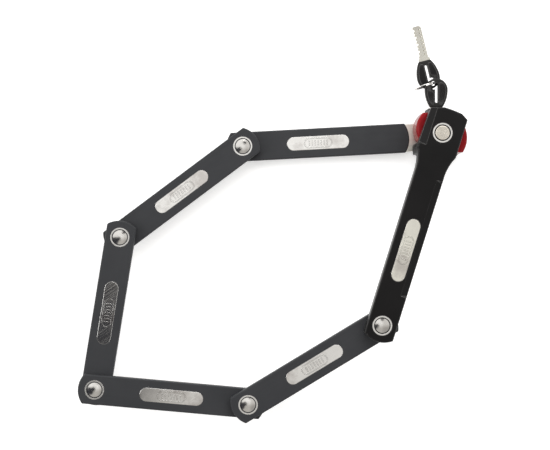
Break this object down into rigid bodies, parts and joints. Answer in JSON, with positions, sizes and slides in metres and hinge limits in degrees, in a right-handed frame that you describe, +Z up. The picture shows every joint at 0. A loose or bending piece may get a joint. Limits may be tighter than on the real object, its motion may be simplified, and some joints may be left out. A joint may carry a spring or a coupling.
{
  "type": "folding bike lock",
  "caption": "Folding bicycle lock of riveted, coated steel links: opened from its head, it wraps round a frame and a stand, and a keyed bolt holds the tongue in the head's jaw.",
  "frame": {"origin": "on the axis of the head, at the underside of the jaw plate, which is the surface that the lock lies on", "axes": "+Z is up along the rivet axes, +Y is the direction in which the key is pulled out, +X points from link E towards the head"},
  "size_m": [0.3375, 0.343, 0.0531],
  "materials": {
    "steel_bar": "case-hardened flat bar, satin",
    "soft_sleeve": "soft-touch coating, matt",
    "body_shell": "satin black moulding",
    "head_casting": "black powder-coated zinc casting",
    "red_plastic": "gloss red moulding",
    "mirror_chrome": "bright polished",
    "rivet_steel": "turned and polished",
    "brass": "machined",
    "key_steel": "nickel-plated",
    "key_plastic": "fine textured"
  },
  "bodies": {
    "lock_body": {"body_bar": "steel_bar", "body_cover_top": "body_shell", "body_cover_bottom": "body_shell", "body_inset": "mirror_chrome", "body_ferrule": "mirror_chrome", "head_cap_ring": "mirror_chrome", "head_cap": "rivet_steel", "pivot_rivet_1": "rivet_steel", "pivot_washer_1": "steel_bar", "head_core": "head_casting", "cheek_disc": "red_plastic", "jaw_plate": "head_casting", "jaw_liner": "red_plastic", "jaw_post": "steel_bar", "jaw_screws": "steel_bar", "core_screws": "steel_bar", "cylinder_housing": "brass", "keyhole_collar": "mirror_chrome"},
    "link_a": {"link_a_bar": "steel_bar", "link_a_sleeve": "soft_sleeve", "link_a_inset": "mirror_chrome", "link_a_ferrules": "mirror_chrome", "pivot_rivet_2": "rivet_steel", "pivot_washer_2": "steel_bar"},
    "link_b": {"link_b_bar": "steel_bar", "link_b_sleeve": "soft_sleeve", "link_b_inset": "mirror_chrome", "link_b_ferrules": "mirror_chrome", "pivot_rivet_3": "rivet_steel", "pivot_washer_3": "steel_bar"},
    "link_c": {"link_c_bar": "steel_bar", "link_c_sleeve": "soft_sleeve", "link_c_inset": "mirror_chrome", "link_c_ferrules": "mirror_chrome", "pivot_rivet_4": "rivet_steel", "pivot_washer_4": "steel_bar"},
    "link_d": {"link_d_bar": "steel_bar", "link_d_sleeve": "soft_sleeve", "link_d_inset": "mirror_chrome", "link_d_ferrules": "mirror_chrome", "pivot_rivet_5": "rivet_steel", "pivot_washer_5": "steel_bar"},
    "link_e": {"link_e_bar": "steel_bar", "link_e_sleeve": "soft_sleeve", "link_e_inset": "mirror_chrome", "link_e_ferrules": "mirror_chrome"},
    "plug": {"plug": "steel_bar", "sidebar": "steel_bar", "disc_stack": "brass", "cam": "steel_bar"},
    "locking_bolt": {"locking_bolt": "steel_bar"},
    "key": {"key_blade": "key_steel", "key_bow": "key_plastic"},
    "key_ring": {"key_ring": "mirror_chrome"},
    "spare_key": {"spare_key_blade": "key_steel", "spare_key_bow": "key_plastic"}
  },
  "joints": [
    {"name": "hinge_a", "type": "hinge", "parent": "lock_body", "child": "link_a", "pos_m": [-0.05128, -0.16365, 0.03725], "axis": [0, 0, 1], "range_deg": [0, 195]},
    {"name": "hinge_b", "type": "hinge", "parent": "link_a", "child": "link_b", "pos_m": [-0.16517, -0.23235, 0.03345], "axis": [0, 0, 1], "range_deg": [0, 216]},
    {"name": "hinge_c", "type": "hinge", "parent": "link_b", "child": "link_c", "pos_m": [-0.29762, -0.2203, 0.02585], "axis": [0, 0, 1], "range_deg": [0, 270]},
    {"name": "hinge_d", "type": "hinge", "parent": "link_c", "child": "link_d", "pos_m": [-0.27659, -0.08897, 0.01825], "axis": [0, 0, 1], "range_deg": [0, 220]},
    {"name": "hinge_e", "type": "hinge", "parent": "link_d", "child": "link_e", "pos_m": [-0.17009, -0.0093, 0.01065], "axis": [0, 0, 1], "range_deg": [-146, 213]},
    {"name": "plug_turn", "type": "hinge", "parent": "lock_body", "child": "plug", "pos_m": [-0.0024, 0.00745, 0.031], "axis": [0, 1, 0], "range_deg": [0, 90]},
    {"name": "bolt_drop", "type": "slide", "parent": "lock_body", "child": "locking_bolt", "axis": [0, 0, -1], "range_m": [0, 0.0081]},
    {"name": "key_slide", "type": "slide", "parent": "plug", "child": "key", "axis": [0, 1, 0], "range_m": [0, 0.03]},
    {"name": "ring_swing", "type": "hinge", "parent": "key", "child": "key_ring", "pos_m": [-0.0047, 0.0445, 0.02852], "axis": [0, 0, 1], "range_deg": [-60, 20]},
    {"name": "spare_key_swing", "type": "hinge", "parent": "key_ring", "child": "spare_key", "pos_m": [-0.0047, 0.0445, 0.02605], "axis": [0, 0, 1], "range_deg": [-80, 40]}
  ],
  "couplings": [
    {"joint": "bolt_drop", "follows": "plug_turn", "m_per_rad": 0.005093}
  ]
}
